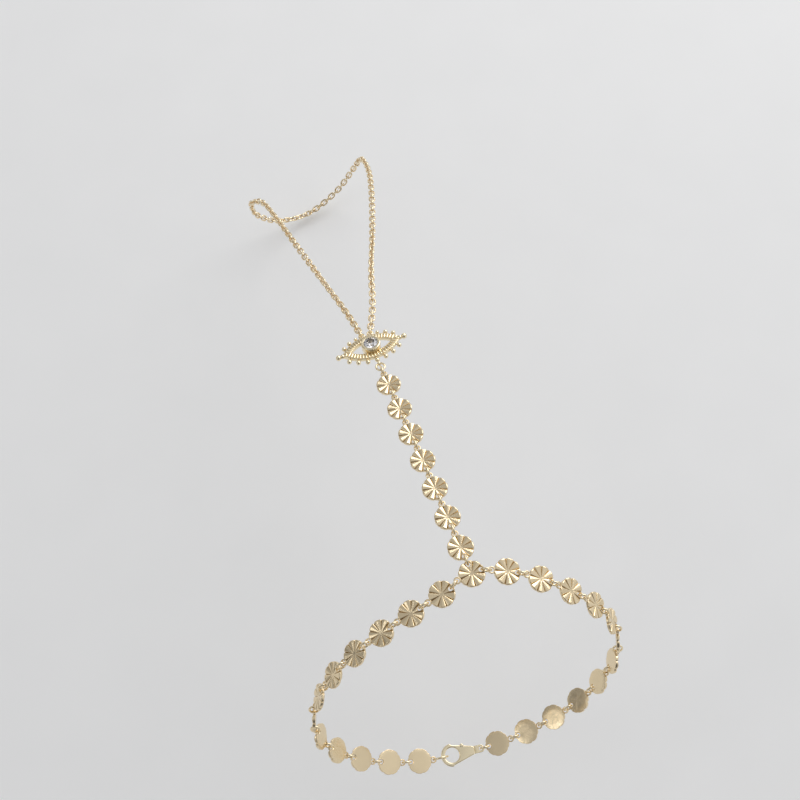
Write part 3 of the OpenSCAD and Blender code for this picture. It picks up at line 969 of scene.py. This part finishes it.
@dataclass
class FlutedDiscs(Part):
    """The stamped discs of the wrist loop and the strand."""

    sectors: int = 20
    face_rings: int = 18
    edge_r: float = 0.2
    back_edge_r: float = 0.06
    scallop: float = 0.13
    crest_rise: float = 0.084
    flank_drop: float = 0.06
    valley_drop: float = 0.12
    crest_soft: float = 0.16
    hub_r: float = 0.25
    hub_blend_r: float = 0.7
    lip: float = 0.08
    first_r: float = 0.05
    back_ring: float = 0.5
    edge_fade: float = 0.45
    eyelet_edge: float = 0.1
    eyelet_sides: int = 40
    drill_sides: int = 36
    drill_below: float = 0.2
    drill_above: float = 0.1
    drill_flare: float = 0.25
    lip_round: float = 0.03
    sharp: float = 32.0

    def build(self) -> list[bpy.types.Object]:
        """Makes one mesh for most discs and one with a second drilled hole for the middle disc.

        Returns:
            The pieces.
        """
        plain = self.disc_mesh("fluted_disc", [0.0])
        middle = self.disc_mesh("middle_fluted_disc", [0.0, self.layout.anchor_turn])
        self.show("middle_disc", "stamped", middle, place=self.layout.middle)
        for k in range(1, self.sizes.side_discs + 1):
            self.show(f"right_disc_{k}", "stamped", plain, place=self.layout.disc_place(k))
            self.show(f"left_disc_{k}", "stamped", plain, place=self.layout.disc_place(-k))
        for k in range(1, self.sizes.strand_discs + 1):
            self.show(f"strand_disc_{k}", "stamped", plain, place=self.layout.strand_place(k))
        return self.pieces

    def rim(self, u: float) -> float:
        """Radius of the scalloped rim, where u runs from -1 to 1 across a petal."""
        return self.sizes.disc_r - self.scallop * abs(u) ** 5

    def face(self, r: float, u: float) -> float:
        """Height of the fluted face.

        Args:
            r: Distance from the middle.
            u: Place across the petal, from -1 to 1.

        Returns:
            The height.
        """
        flutes = smooth(self.hub_r, self.hub_blend_r, r)
        roof = math.sqrt(u * u + self.crest_soft ** 2) - self.crest_soft
        drop = self.flank_drop * roof + self.valley_drop * u ** 10
        return self.sizes.disc_mid + flutes * r * (self.crest_rise - drop)

    def body(self) -> MeshMaker:
        """The disc's body, without its holes.

        Returns:
            A maker that holds one closed shell.
        """
        columns = []
        for j, turn in enumerate(full_turn(self.sizes.petals * self.sectors)):
            step = (j + self.sectors / 2) % self.sectors
            section = self.profile(2 * step / self.sectors - 1)
            columns.append([Vector((r * math.cos(turn), r * math.sin(turn), z)) for r, z in section])
        maker = MeshMaker()
        maker.loft([list(row) for row in zip(*columns)])
        return maker

    def profile(self, u: float) -> list[tuple[float, float]]:
        """Section of the disc from the middle of its back, round the rim, to the middle of its face.

        Args:
            u: Place across the petal, from -1 to 1.

        Returns:
            Radius and height of each point.
        """
        size = self.sizes
        rim = self.rim(u)
        edge = self.edge_r * (1 - self.edge_fade * abs(u) ** 3)
        back = size.disc_back
        points = [(self.first_r, back), (rim * self.back_ring, back)]
        points += round_edge(rim - self.back_edge_r, back + self.back_edge_r, self.back_edge_r, -90, 3)
        last = rim - edge
        top = self.face(last, u) - edge
        points += round_edge(last, top, edge, 0, 5)
        for i in range(1, self.face_rings + 1):
            r = last + (self.first_r - last) * i / self.face_rings
            points.append((r, self.face(r, u)))
        return points

    def disc_mesh(self, name: str, hole_turns: Sequence[float]) -> bpy.types.Mesh:
        """The disc with its holes and its eyelet.

        Args:
            name: Name of the mesh.
            hole_turns: Angle of each hole about the middle.

        Returns:
            The mesh, in the disc's own frame.
        """
        size = self.sizes
        drilled = self.drill(self.body(), hole_turns)
        own = Place(Vector((-size.eyelet_reach, 0.0, 0.0)), Vector((1, 0, 0)), Vector((0, 0, 1)))
        maker = MeshMaker()
        half = size.eyelet_t / 2
        maker.band(
            own, full_turn(self.eyelet_sides), lambda turn, x: size.eyelet_r + x,
            lambda turn, x: size.eyelet_hole_r + x, (-half, half), self.eyelet_edge,
        )
        maker.facets([v.co / MM for v in drilled.vertices], [list(p.vertices) for p in drilled.polygons])
        bpy.data.meshes.remove(drilled)
        return maker.mesh(name, self.sharp, self.finishes.stamped)

    def drill(self, body: MeshMaker, hole_turns: Sequence[float]) -> bpy.types.Mesh:
        """Cuts holes with softened lips through the disc's body.

        Args:
            body: The body.
            hole_turns: Angle of each hole about the middle.

        Returns:
            The drilled mesh, in metres.
        """
        size = self.sizes
        crest = self.face(size.hole_reach, 0.0)
        wide = size.hole_r + self.lip
        back = size.disc_back
        profile = [
            (wide + self.drill_below, back - self.drill_below),
            (wide, back),
            (size.hole_r, back + self.lip),
            (size.hole_r, crest - 2 * self.lip),
            (wide - self.lip_round, crest - self.lip),
            (wide + self.drill_flare, crest + self.drill_above),
        ]
        target = add_object("disc_blank", body.mesh("disc_blank", self.sharp))
        tools = []
        for turn in hole_turns:
            where = Vector((math.cos(turn), math.sin(turn), 0.0)) * size.hole_reach
            cutter = MeshMaker()
            cutter.lathe(Place(where, Vector((1, 0, 0)), Vector((0, 0, 1))), profile, self.drill_sides)
            tool = add_object("disc_drill", cutter.mesh("disc_drill", self.sharp))
            cut = target.modifiers.new("drill", "BOOLEAN")
            cut.operation = "DIFFERENCE"
            cut.solver = "EXACT"
            cut.object = tool
            tools.append(tool)
        seen = target.evaluated_get(bpy.context.evaluated_depsgraph_get())
        drilled = bpy.data.meshes.new_from_object(seen)
        for spent in [target, *tools]:
            used = spent.data
            bpy.data.objects.remove(spent)
            bpy.data.meshes.remove(used)
        return drilled


@dataclass
class WireWork(Part):
    """Jump rings and chain links of round wire, each with the fine line where its ends meet."""

    ring_steps: int = 56
    ring_sides: int = 14
    link_steps: int = 9
    link_sides: int = 10
    seam_depth: float = 0.14
    seam_width: float = 0.035
    seam_seed: int = 11
    ring_sharp: float = 40.0
    link_sharp: float = 50.0

    def __post_init__(self) -> None:
        """Seeds the places of the seams."""
        self.chance = random.Random(self.seam_seed)

    def build(self) -> list[bpy.types.Object]:
        """Makes the two groups of jump rings and the two halves of the finger chain.

        Returns:
            The pieces.
        """
        for node, rings in (
            ("wrist_jump_rings", self.layout.wrist_rings()),
            ("strand_jump_rings", self.layout.strand_rings()),
        ):
            maker = MeshMaker()
            for place, diameter in rings:
                self.add_ring(maker, place, diameter)
            self.show(node, "drawn", maker.mesh(node, self.ring_sharp, self.finishes.wire))
        for node, first, last in (
            ("finger_chain_left", 0, self.layout.left_links),
            ("finger_chain_right", self.layout.left_links, self.layout.links),
        ):
            maker = MeshMaker()
            for i in range(first, last):
                self.add_link(maker, self.layout.link_place(i))
            self.show(node, "links", maker.mesh(node, self.link_sharp, self.finishes.wire))
        return self.pieces

    def add_ring(self, maker: MeshMaker, place: Place, diameter: float) -> None:
        """Adds one jump ring.

        Args:
            maker: Takes the ring.
            place: Where it stands.
            diameter: Its diameter to the middle of its wire.
        """
        seam = self.chance.uniform(0.0, TAU)
        half = self.seam_width / diameter
        turns = [seam + half * t for t in (-2.0, -1.0, 0.0, 1.0, 2.0)]
        spare = (TAU - 4 * half) / self.ring_steps
        turns += [seam + 2 * half + spare * i for i in range(1, self.ring_steps)]
        radii = []
        for i in range(len(turns)):
            share = 1 - self.seam_depth if i == 2 else 1.0
            radii.append(self.sizes.ring_wire / 2 * share)
        path = []
        for turn in turns:
            out = math.cos(turn) * place.along + math.sin(turn) * place.out
            path.append((place.middle + diameter / 2 * out, out))
        maker.tube(path, place.side * -1, radii, self.ring_sides)

    def add_link(self, maker: MeshMaker, place: Place) -> None:
        """Adds one link of the finger chain.

        Args:
            maker: Takes the link.
            place: Where it hangs.
        """
        size = self.sizes
        bend = (size.link_w - size.link_wire) / 2
        reach = self.layout.link_half - bend
        path = []
        radii = []
        for end in (1, -1):
            for j in range(self.link_steps):
                turn = math.pi * (j / (self.link_steps - 1) - end / 2)
                out = math.cos(turn) * place.along + math.sin(turn) * place.side
                path.append((place.at(end * reach) + bend * out, out))
                radii.append(size.link_wire / 2)
            middle = place.at(0.0, end * bend)
            out = place.side * end
            seam = end == 1
            for shift in (-1, 0, 1) if seam else (0,):
                path.append((middle - self.seam_width * shift * end * place.along, out))
                radii.append(size.link_wire / 2 * (1 - self.seam_depth * (seam and shift == 0)))
        maker.tube(path, place.out, radii, self.link_sides)


@dataclass
class PlainClasp(Part):
    """The hidden clasp, as one plain piece with softened edges."""

    thick: float = 1.2
    tail_thick: float = 0.38
    tail_r: float = 0.8
    tail_hole_r: float = 0.42
    shoulder_x: float = 1.3
    claw_r: float = 2.3
    neck_r: float = 2.1
    trigger_r: float = 0.45
    trigger_side: float = 1.38
    edge: float = 0.22
    tail_edge: float = 0.09
    outline_steps: int = 96
    trigger_edge: float = 0.12
    trigger_sides: int = 24
    trigger_cap_r: float = 0.03
    tail_overlap: float = 0.1
    sharp: float = 40.0

    @property
    def claw_x(self) -> float:
        """Distance from the tail's hole to the middle of the claw."""
        return self.layout.clasp_length + self.sizes.claw_play - self.sizes.claw_hole_r

    def build(self) -> list[bpy.types.Object]:
        """Makes the tail eyelet, the body with its claw, and the trigger.

        Returns:
            The piece.
        """
        clasp = self.layout.clasp
        maker = MeshMaker()
        turns = full_turn(self.outline_steps)
        half = self.tail_thick / 2
        maker.band(
            clasp, turns, lambda turn, x: self.tail_outline(turn) + x,
            lambda turn, x: self.tail_hole_r + x, (-half, half), self.tail_edge,
        )
        claw = Place(clasp.at(self.claw_x), clasp.along, clasp.out)
        half = self.thick / 2
        maker.band(
            claw, turns, lambda turn, x: self.body_outline(turn) + x,
            lambda turn, x: self.sizes.claw_hole_r + x, (-half, half), self.edge,
        )
        edge = self.trigger_edge
        profile = [(self.trigger_cap_r, -half)]
        profile += round_edge(self.trigger_r - edge, -half + edge, edge, -90, 3)
        profile += round_edge(self.trigger_r - edge, half - edge, edge, 0, 3)
        profile.append((self.trigger_cap_r, half))
        trigger = Place(clasp.at(self.claw_x - self.claw_r, self.trigger_side), clasp.along, clasp.out)
        maker.lathe(trigger, profile, self.trigger_sides)
        self.show("clasp", "polished", maker.mesh("clasp", self.sharp, self.finishes.cast))
        return self.pieces

    def body_outline(self, turn: float) -> float:
        """Outline of the body about the claw's middle: round in front, slanting in to the shoulder.

        Args:
            turn: Angle about the claw's middle.

        Returns:
            Distance of the outline from it.
        """
        x = math.cos(turn)
        if x >= 0:
            return self.claw_r
        reach = self.claw_x - self.shoulder_x
        slant = (self.neck_r - self.tail_r) / reach
        return min(self.neck_r / (abs(math.sin(turn)) - x * slant), reach / -x)

    def tail_outline(self, turn: float) -> float:
        """Outline of the tail about its hole: round behind and straight towards the body.

        Args:
            turn: Angle about the hole.

        Returns:
            Distance of the outline from it.
        """
        x = math.cos(turn)
        if x <= 0:
            return self.tail_r
        side = max(abs(math.sin(turn)), SLIGHT)
        return min(self.tail_r / side, (self.shoulder_x + self.tail_overlap) / x)


@dataclass
class OpenEye(Part):
    """The cast eye: ribbed lids, granules, corner beads, loops, bezel cup and stone."""

    band_back: float = -0.45
    band_front: float = 0.35
    lid_half_len: float = 6.4
    lid_half_h: float = 3.2
    lid_band: float = 1.45
    ribs: int = 19
    rib_r: float = 0.21
    rib_z: float = 0.33
    rib_spread: float = 43.0
    granule_r: float = 0.5
    small_granule_r: float = 0.38
    upper_out: float = 0.6
    lower_out: float = 0.75
    stem_r: float = 0.14
    upper_granules: tuple[float, float] = (28.0, 39.5)
    upper_small: float = 16.5
    lower_granules: tuple[float, ...] = (0.0, 13.0, 26.0, 39.0)
    tip_reach: tuple[float, float] = (6.35, 7.25)
    tip_r: tuple[float, float] = (0.5, 0.6)
    tip_stem: float = 0.25
    bezel_r: float = 2.025
    stone_r: float = 1.6
    girdle_z: float = 1.15
    lid_edge: float = 0.12
    lid_steps: int = 24
    lid_ease: float = 1.6
    rib_sides: int = 16
    rib_inset: float = 0.02
    stem_root: float = 0.3
    stem_sides: int = 14
    tip_sides: int = 24
    tip_stem_sides: int = 16
    loop_steps: int = 32
    loop_sides: int = 12
    bezel_sides: int = 64
    lip_rise: float = 0.27
    lip_round: float = 0.2
    seat_play: float = 0.05
    seat_z: float = 0.85
    seat_r: float = 1.38
    cup_r: float = 0.8
    cup_z: float = -0.25
    cap_r: float = 0.05
    foot_round: float = 0.08
    wall_z: float = 0.4
    lip_inside: tuple[tuple[float, float], ...] = (
        (0.095, 0.26), (-0.18, 0.22), (-0.14, 0.17), (-0.05, 0.12), (0.0, 0.1),
    )
    stone_fold: int = 8
    table_r: float = 0.864
    table_z: float = 0.51
    kite_r: float = 1.344
    kite_z: float = 0.285
    girdle_thick: float = 0.06
    half_r: float = 0.53
    half_z: float = -0.885
    culet_z: float = -1.28
    sharp: float = 40.0
    facet_sharp: float = 1.0

    @property
    def place(self) -> Place:
        """Where the eye sits."""
        return self.layout.eye

    @property
    def lid_r(self) -> float:
        """Radius of the lids' outer arcs."""
        return (self.lid_half_len ** 2 + self.lid_half_h ** 2) / (2 * self.lid_half_h)

    @property
    def lid_centre(self) -> float:
        """Distance from the eye's middle to the centre of a lid's arc."""
        return self.lid_r - self.lid_half_h

    def build(self) -> list[bpy.types.Object]:
        """Makes the metal as one piece and the stone as another.

        Returns:
            The pieces.
        """
        maker = MeshMaker()
        self.add_lids(maker)
        for lid in (1, -1):
            for k in range(-1, self.ribs + 1):
                self.add_rib(maker, self.rib_spread * (2 * k / (self.ribs - 1) - 1), lid)
        for side in (-1, 1):
            for turn in self.upper_granules:
                self.add_granule(maker, side * turn, self.granule_r, 1)
            self.add_granule(maker, side * self.upper_small, self.small_granule_r, 1)
            for turn in self.lower_granules:
                if side > 0 or turn > 0:
                    self.add_granule(maker, side * turn, self.granule_r, -1)
            self.add_tip(maker, side)
            top = self.place.at(side * self.sizes.top_loop_x, self.sizes.top_loop_y)
            self.add_loop(maker, top, self.place.out)
        self.add_loop(maker, self.place.at(0.0, self.sizes.bail_y), self.place.along)
        self.add_bezel(maker)
        self.show("eye_frame", "cast", maker.mesh("eye_frame", self.sharp, self.finishes.cast))
        self.build_stone()
        return self.pieces

    def lens(self, turn: float, r: float) -> float:
        """Distance from the eye's middle to a lens of two arcs of radius r, at an angle."""
        s = self.lid_centre * abs(math.sin(turn))
        return math.sqrt(s * s - self.lid_centre ** 2 + r * r) - s

    def add_lids(self, maker: MeshMaker) -> None:
        """Adds the band of both lids, rounded at its edges.

        Args:
            maker: Takes the band.
        """
        turns = []
        for quarter in range(4):
            for i in range(self.lid_steps):
                share = i / self.lid_steps
                if quarter % 2 == 0:
                    share = share ** self.lid_ease
                else:
                    share = 1 - (1 - share) ** self.lid_ease
                turns.append(math.pi / 2 * (quarter + share))
        maker.band(
            self.place, turns, lambda turn, x: self.lens(turn, self.lid_r + x),
            lambda turn, x: self.lens(turn, self.lid_r - self.lid_band + x),
            (self.band_back, self.band_front), self.lid_edge, 3,
        )

    def on_lid(self, turn: float, reach: float, z: float, lid: int) -> Vector:
        """The point at an angle in degrees and a distance from the centre of a lid's arc."""
        a = math.radians(turn)
        return self.place.at(reach * math.sin(a), lid * (reach * math.cos(a) - self.lid_centre), z)

    def add_rib(self, maker: MeshMaker, turn: float, lid: int) -> None:
        """Adds one rounded rib across a lid.

        Args:
            maker: Takes the rib.
            turn: Its angle about the centre of the lid's arc.
            lid: 1 for the upper lid and -1 for the lower one.
        """
        meet = self.lid_centre / math.cos(math.radians(turn))
        inner = max(self.lid_r - self.lid_band + self.rib_inset, meet)
        start = self.on_lid(turn, inner, self.rib_z, lid)
        end = self.on_lid(turn, self.lid_r - self.rib_inset, self.rib_z, lid)
        along = (end - start).normalized()
        length = (end - start).length
        r = self.rib_r
        profile = [(r * math.sin(a), r - r * math.cos(a)) for a in (0.15, 0.5, 0.9, 1.3)]
        profile += [(r, length * t) for t in (0.35, 0.5, 0.65)]
        profile += [(r * math.sin(a), length - r - r * math.cos(a)) for a in (1.85, 2.25, 2.65, 2.99)]
        maker.lathe(Place(start, self.place.out, along), profile, self.rib_sides)

    def add_granule(self, maker: MeshMaker, turn: float, radius: float, lid: int) -> None:
        """Adds a ball on a short stem that stands out from a lid.

        Args:
            maker: Takes the granule.
            turn: Its angle about the centre of the lid's arc.
            radius: Radius of the ball.
            lid: 1 for the upper lid and -1 for the lower one.
        """
        reach = self.upper_out if lid == 1 else self.lower_out
        start = self.on_lid(turn, self.lid_r - self.stem_root, 0.0, lid)
        end = self.on_lid(turn, self.lid_r + reach, 0.0, lid)
        along = (end - start).normalized()
        length = (end - start).length
        stem = [(self.stem_r * wide, z) for wide, z in ((1.6, 0.0), (1.5, 0.2), (1.0, 0.4), (1.0, length))]
        maker.lathe(Place(start, self.place.out, along), stem, self.stem_sides)
        maker.ball(end, self.place.out, radius)

    def add_tip(self, maker: MeshMaker, side: int) -> None:
        """Adds the two beads and their stem at a corner of the eye.

        Args:
            maker: Takes the beads.
            side: 1 for the right corner and -1 for the left one.
        """
        for reach, radius in zip(self.tip_reach, self.tip_r):
            maker.ball(self.place.at(side * reach), self.place.out, radius, self.tip_sides)
        near, far = self.tip_reach
        stem = Place(self.place.at(side * near), self.place.out, self.place.along * side)
        maker.lathe(stem, [(self.tip_stem, 0.0), (self.tip_stem, far - near)], self.tip_stem_sides)

    def add_loop(self, maker: MeshMaker, middle: Vector, axis: Vector) -> None:
        """Adds a soldered loop of wire.

        Args:
            maker: Takes the loop.
            middle: Middle of the loop.
            axis: Direction that it turns about.
        """
        side = axis.orthogonal().normalized()
        place = Place(middle, side, axis)
        r = self.sizes.eye_loop_wire_r
        wire = full_turn(self.loop_sides)
        profile = [(self.sizes.eye_loop_r + r * math.cos(a), r * math.sin(a)) for a in wire]
        maker.lathe(place, profile, self.loop_steps, closed=True)

    def add_bezel(self, maker: MeshMaker) -> None:
        """Adds the bezel cup with its rounded lip and the seat inside it.

        Args:
            maker: Takes the cup.
        """
        bore = self.stone_r + self.seat_play
        top = self.girdle_z + self.lip_rise
        foot = self.foot_round
        profile = [(self.cap_r, self.band_back)]
        profile += round_edge(self.bezel_r - foot, self.band_back + foot, foot, -90, 3)
        profile.append((self.bezel_r, self.wall_z))
        profile += round_edge(self.bezel_r - self.lip_round, top - self.lip_round, self.lip_round, 0, 5)
        profile += [(bore + x, self.girdle_z + z) for x, z in self.lip_inside]
        profile += [(bore, self.seat_z), (self.seat_r, self.seat_z)]
        profile += [(self.cup_r, self.cup_z), (self.cap_r, self.cup_z)]
        maker.lathe(self.place, profile, self.bezel_sides)

    def stone_ring(self, count: int, r: float, z: float, shift: float = 0.0) -> Loop:
        """Corners of the stone on a circle whose height is counted from the girdle."""
        return [self.place.round(r, turn, self.girdle_z + z) for turn in full_turn(count, shift)]

    def build_stone(self) -> None:
        """Makes the round brilliant: table, stars, kites, girdle, halves and pavilion mains."""
        n = self.stone_fold
        points = self.stone_ring(n, self.table_r, self.table_z)
        points += self.stone_ring(n, self.kite_r, self.kite_z, 0.5)
        points += self.stone_ring(2 * n, self.stone_r, self.girdle_thick)
        points += self.stone_ring(2 * n, self.stone_r, 0.0)
        points += self.stone_ring(n, self.half_r, self.half_z, 0.5)
        points.append(self.place.at(0, 0, self.girdle_z + self.culet_z))
        table, mid, top, low, half, culet = 0, n, 2 * n, 4 * n, 6 * n, 7 * n
        faces: list[tuple[int, ...]] = [tuple(range(n))]
        for k in range(n):
            after = (k + 1) % n
            before = (k - 1) % n
            g = 2 * k
            faces.append((table + k, mid + k, table + after))
            faces.append((table + k, mid + before, top + g, mid + k))
            faces.append((mid + k, top + g, top + g + 1))
            faces.append((mid + k, top + g + 1, top + (g + 2) % (2 * n)))
            faces.append((culet, half + k, low + g, half + before))
            faces.append((half + k, low + g + 1, low + g))
            faces.append((half + k, low + (g + 2) % (2 * n), low + g + 1))
        for k in range(2 * n):
            after = (k + 1) % (2 * n)
            faces.append((top + k, low + k, low + after, top + after))
        maker = MeshMaker()
        maker.facets(points, faces)
        cut = maker.mesh("eye_stone", self.facet_sharp, self.finishes.stone)
        self.show("eye_stone", "cut", cut, Slot.STONE)


@dataclass(frozen=True)
class SoftBox:
    """A rectangular soft light that looks at the middle of the bracelet, in metres and watts."""

    name: str
    at: tuple[float, float, float]
    size: tuple[float, float]
    power: float
    aim: tuple[float, float, float] = (-0.01, 0.03, 0.0)

    def build(self) -> None:
        """Adds the light to the scene."""
        lamp = bpy.data.lights.new(self.name, "AREA")
        lamp.shape = "RECTANGLE"
        lamp.size, lamp.size_y = self.size
        lamp.energy = self.power
        holder = add_object(self.name, lamp)
        holder.location = self.at
        way = Vector(self.aim) - Vector(self.at)
        holder.rotation_euler = way.to_track_quat("-Z", "Y").to_euler()


@dataclass(frozen=True)
class Studio:
    """Floor, soft lights, world and the camera at the photograph's angle, in metres."""

    floor_z: float = -0.0445
    floor_half: float = 1.6
    focal_mm: float = 51.48
    camera_at: tuple[float, float, float] = (-0.01304, -0.0439, 0.227)
    camera_look: tuple[float, float, float] = (0.0, 0.3534, -0.9355)
    dark_way: tuple[float, float, float] = (0.15, -0.8, 0.58)
    dark_edge: tuple[float, float] = (0.74, 0.92)
    sky: tuple[tuple[float, float], ...] = (
        (0.0, 0.24), (0.09, 0.39), (0.33, 0.45), (0.5, 0.58), (0.86, 0.75), (1.0, 0.64),
    )
    lights: tuple[SoftBox, ...] = (
        SoftBox("window_light", (0.37, 0.66, 0.53), (0.85, 0.6), 4.0),
        SoftBox("side_light", (-0.68, -0.09, 0.58), (0.35, 0.35), 0.4),
    )

    def build(self) -> None:
        """Makes the whole studio."""
        self.floor()
        self.world()
        for light in self.lights:
            light.build()
        self.camera()

    def floor(self) -> None:
        """Makes the plain pale floor."""
        mesh = bpy.data.meshes.new("floor")
        half = self.floor_half
        corners = [(x * half, y * half, self.floor_z) for x, y in ((-1, -1), (1, -1), (1, 1), (-1, 1))]
        mesh.from_pydata(corners, [], [(0, 1, 2, 3)])
        material, sheet, shader = new_material("pale_floor")
        where = sheet.add("ShaderNodeTexCoord").outputs["Object"]
        grain = sheet.add("ShaderNodeTexNoise", {"Vector": where, "Scale": 60.0, "Detail": 3.0}).outputs[0]
        sheet.feed(shader.inputs["Base Color"], sheet.ramp(grain, [
            (0.3, (0.94, 0.94, 0.935, 1.0)), (0.7, (0.955, 0.955, 0.95, 1.0)),
        ]))
        shader.inputs["Roughness"].default_value = 0.8
        mesh.materials.append(material)
        floor = add_object("floor", mesh)
        floor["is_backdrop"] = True

    def world(self) -> None:
        """Makes soft grey surroundings, brightest well to the right and dark high on the near side."""
        world = bpy.data.worlds.new("studio")
        world.use_nodes = True
        sheet = NodeSheet(world.node_tree)
        back = world.node_tree.nodes["Background"]
        way = sheet.add("ShaderNodeTexCoord").outputs["Generated"]
        facing = sheet.add("ShaderNodeVectorMath", {"Vector": way}, operation="DOT_PRODUCT")
        facing.inputs[1].default_value = self.dark_way
        shade = sheet.add("ShaderNodeMapRange", {
            "Value": facing.outputs["Value"], "From Min": self.dark_edge[0], "From Max": self.dark_edge[1],
        }, interpolation_type="SMOOTHSTEP")
        split = sheet.add("ShaderNodeSeparateXYZ", {"Vector": way})
        sky = sheet.ramp(sheet.math("MULTIPLY_ADD", split.outputs[0], 0.5, 0.5), [
            (position, (0.98 * level, 0.985 * level, level, 1.0)) for position, level in self.sky
        ])
        mix = sheet.add("ShaderNodeMix", {"Factor": shade.outputs[0]}, data_type="RGBA", clamp_factor=True)
        sheet.feed(mix.inputs[6], sky)
        mix.inputs[7].default_value = (0.12, 0.12, 0.13, 1.0)
        sheet.feed(back.inputs["Color"], mix.outputs[2])
        back.inputs["Strength"].default_value = 1.0
        bpy.context.scene.world = world

    def camera(self) -> None:
        """Makes the camera that frames the bracelet as photographed."""
        lens = bpy.data.cameras.new("photo_camera")
        lens.lens = self.focal_mm
        lens.sensor_width = 36.0
        lens.sensor_fit = "HORIZONTAL"
        lens.clip_start = 0.005
        camera = add_object("photo_camera", lens)
        camera.location = self.camera_at
        camera.rotation_euler = Vector(self.camera_look).to_track_quat("-Z", "Y").to_euler()
        bpy.context.scene.camera = camera


def plain_lists(value: object) -> object:
    """Turns vectors and tuples into plain lists of numbers.

    Args:
        value: A number, a row, or a dictionary of them.

    Returns:
        The same in plain numbers, lists and dictionaries.
    """
    if isinstance(value, dict):
        return {key: plain_lists(item) for key, item in value.items()}
    if isinstance(value, (int, float)):
        return value
    return [plain_lists(item) for item in value]


def main() -> None:
    """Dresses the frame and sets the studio."""
    logging.basicConfig(level=logging.INFO)
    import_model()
    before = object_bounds()
    bpy.context.scene.view_settings.view_transform = "Standard"
    layout = Layout(Sizes())
    finishes = Finishes.build()
    for part in (FlutedDiscs, WireWork, PlainClasp, OpenEye):
        for piece in part(layout, finishes).build():
            log.info("%s has %d faces", piece.name, len(piece.data.polygons))
    Studio().build()
    json.dumps([plain_lists(before), plain_lists(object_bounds())])


if __name__ == "__main__":
    main()
